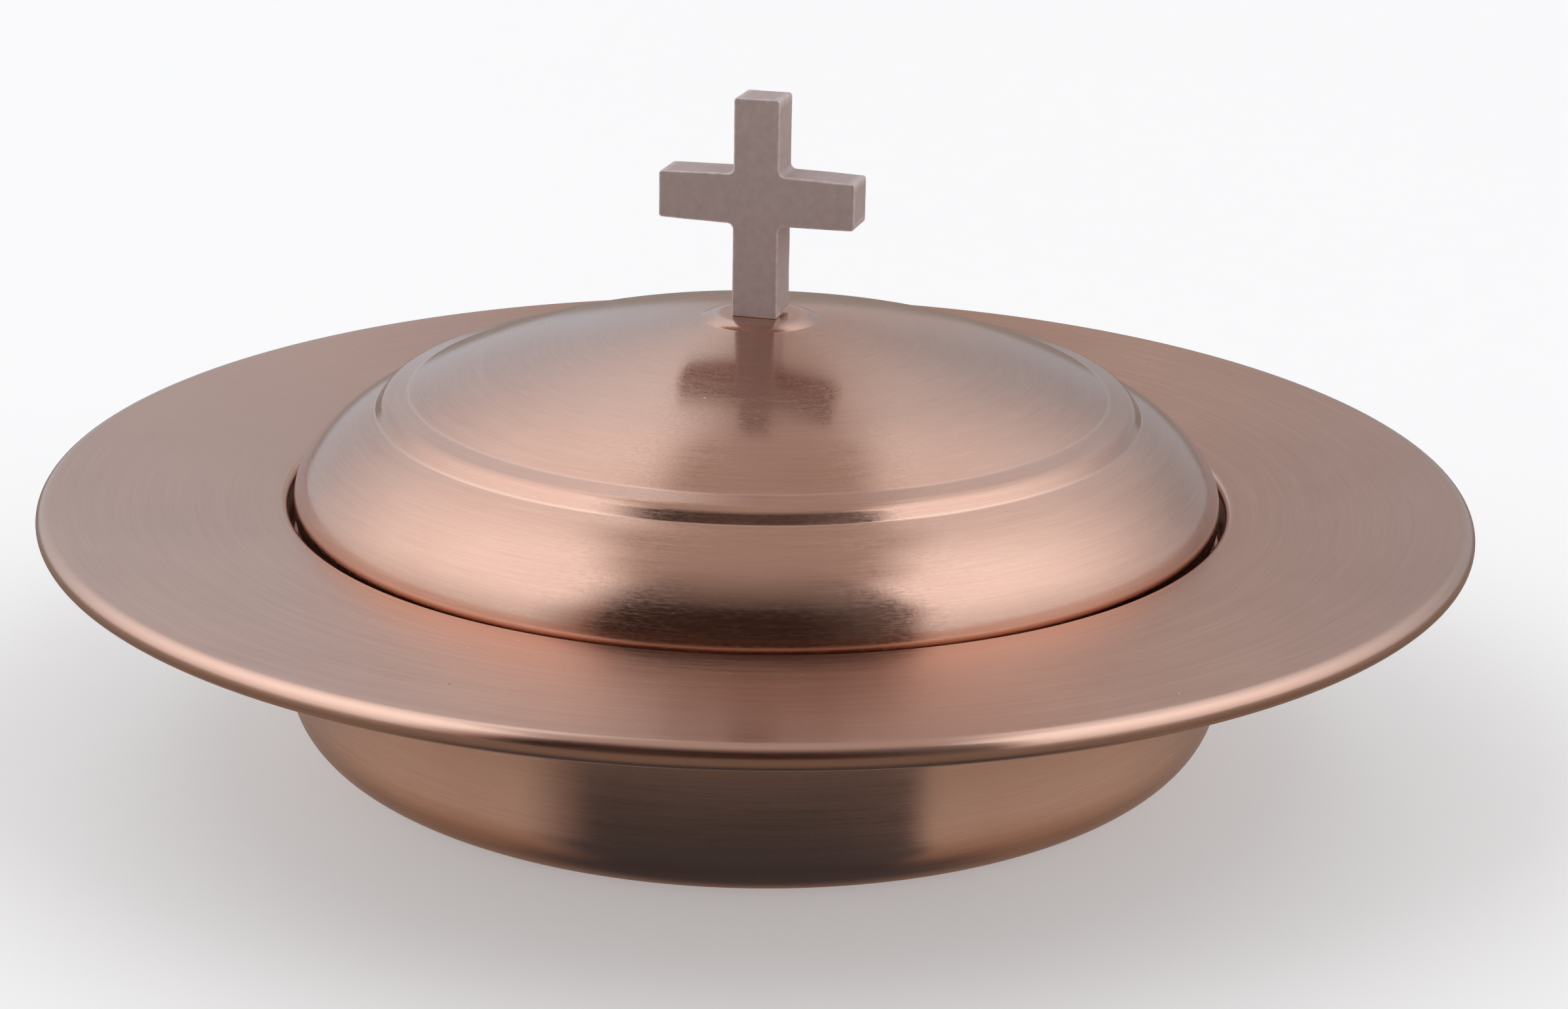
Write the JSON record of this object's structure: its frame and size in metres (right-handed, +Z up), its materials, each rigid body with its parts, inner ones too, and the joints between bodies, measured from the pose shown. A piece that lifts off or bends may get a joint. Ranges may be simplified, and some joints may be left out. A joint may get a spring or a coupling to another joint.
{
  "type": "covered baptismal bowl",
  "caption": "Spun table-top baptismal bowl with a wide flat rim and a lift-off domed cover that has a cross for its handle.",
  "frame": {"origin": "middle of the underside of the bowl, on the axis of the bowl", "axes": "+Z up along the axis of the bowl; the flat face of the cross looks along -Y and its arms run along X"},
  "size_m": [0.356, 0.356, 0.1608],
  "materials": {
    "copper_finish": "satin copper plate, lathe-brushed in circles",
    "cast_copper_tone": "fine bead-blasted, matte copper tone",
    "plain_steel": "plain zinc-plated"
  },
  "bodies": {
    "bowl": {"bowl_shell": "copper_finish", "rim_wire": "plain_steel"},
    "cover": {"cover_shell": "copper_finish", "cross_finial": "cast_copper_tone", "finial_screw": "plain_steel", "lock_washer": "plain_steel", "flat_washer": "plain_steel"}
  },
  "joints": [
    {"name": "cover_lift", "type": "slide", "parent": "bowl", "child": "cover", "axis": [0, 0, 1], "range_m": [0, 0.15]}
  ]
}
